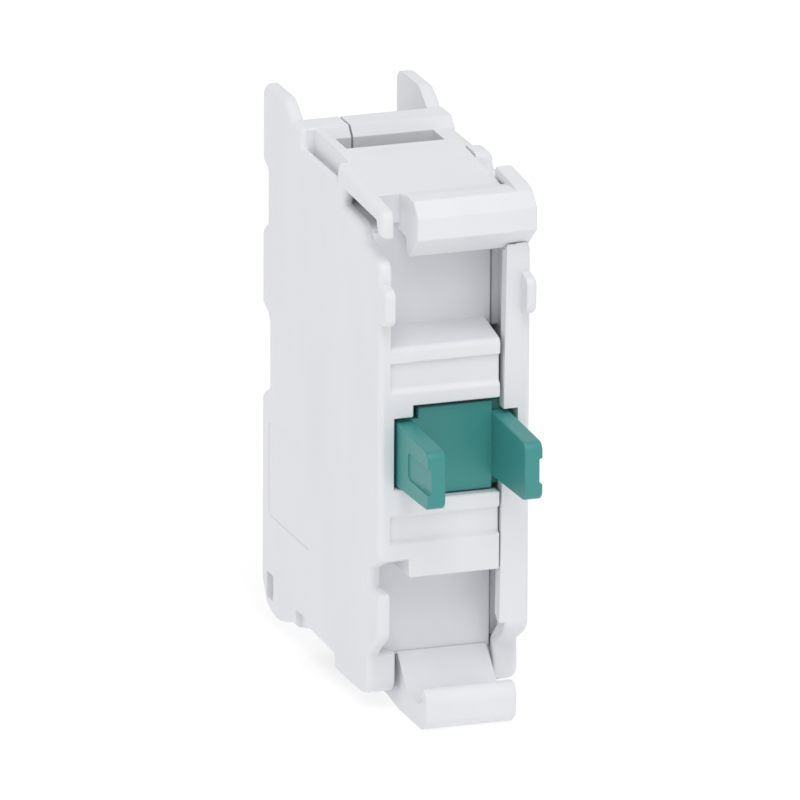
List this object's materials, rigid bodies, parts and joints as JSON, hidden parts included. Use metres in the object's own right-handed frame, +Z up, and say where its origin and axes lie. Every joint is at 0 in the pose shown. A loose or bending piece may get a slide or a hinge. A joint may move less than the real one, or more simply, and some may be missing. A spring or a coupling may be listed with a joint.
{
  "type": "push button contact block",
  "caption": "Clip-on contact block for a 22 mm industrial push button: slim grey two-part housing, green forked plunger and screw terminals.",
  "frame": {"origin": "centre of the bounding box in plan, at the lowest edge of the latch bar", "axes": "+Z up along the housing's height, -Y to the front where the plunger stands out, +X to the right seen from the front"},
  "size_m": [0.0098, 0.028, 0.0349],
  "materials": {
    "housing_grey": "fine moulded light grey thermoplastic",
    "plunger_green": "satin moulded green thermoplastic",
    "contact_brass": "stamped brass strip",
    "contact_silver": "silver contact alloy",
    "zinc_steel": "zinc plated steel",
    "spring_steel": "drawn spring wire"
  },
  "bodies": {
    "housing": {"housing_base": "housing_grey", "housing_cover": "housing_grey", "terminal_strip_upper": "contact_brass", "terminal_strip_lower": "contact_brass", "fixed_contact_upper": "contact_silver", "fixed_contact_lower": "contact_silver", "terminal_nut_upper": "zinc_steel", "terminal_nut_lower": "zinc_steel", "return_spring": "spring_steel"},
    "latch": {"snap_latch": "housing_grey"},
    "plunger": {"plunger": "plunger_green", "contact_spring": "spring_steel"},
    "bridge": {"contact_bridge": "contact_brass", "moving_contact_upper": "contact_silver", "moving_contact_lower": "contact_silver"},
    "clamp_upper": {"clamp_plate_upper": "zinc_steel", "lock_washer_upper": "spring_steel"},
    "clamp_lower": {"clamp_plate_lower": "zinc_steel", "lock_washer_lower": "spring_steel"},
    "screw_upper": {"terminal_screw_upper": "zinc_steel"},
    "screw_lower": {"terminal_screw_lower": "zinc_steel"}
  },
  "joints": [
    {"name": "plunger_press", "type": "slide", "parent": "housing", "child": "plunger", "axis": [0, 1, 0], "range_m": [0, 0.004], "stiffness_N_per_m": 500, "springref_m": -0.002, "deforming": ["return_spring"]},
    {"name": "bridge_overtravel", "type": "slide", "parent": "plunger", "child": "bridge", "axis": [0, -1, 0], "range_m": [0, 0.0016], "deforming": ["contact_spring"]},
    {"name": "latch_flex", "type": "hinge", "parent": "housing", "child": "latch", "pos_m": [0, -0.0007, 0.0009], "axis": [1, 0, 0], "range_deg": [0, 8], "stiffness_Nm_per_rad": 0.3},
    {"name": "clamp_upper_travel", "type": "slide", "parent": "housing", "child": "clamp_upper", "axis": [0, -1, 0], "range_m": [0, 0.0036]},
    {"name": "screw_upper_turn", "type": "hinge", "parent": "clamp_upper", "child": "screw_upper", "pos_m": [0, 0.008, 0.02735], "axis": [0, -1, 0], "range_deg": [0, 2160]},
    {"name": "clamp_lower_travel", "type": "slide", "parent": "housing", "child": "clamp_lower", "axis": [0, -1, 0], "range_m": [0, 0.0036]},
    {"name": "screw_lower_turn", "type": "hinge", "parent": "clamp_lower", "child": "screw_lower", "pos_m": [0, 0.008, 0.00685], "axis": [0, -1, 0], "range_deg": [0, 2160]}
  ],
  "couplings": [
    {"joint": "bridge_overtravel", "follows": "plunger_press", "ratio": 0.4},
    {"joint": "screw_upper_turn", "follows": "clamp_upper_travel", "rad_per_m": 10472},
    {"joint": "screw_lower_turn", "follows": "clamp_lower_travel", "rad_per_m": 10472}
  ]
}
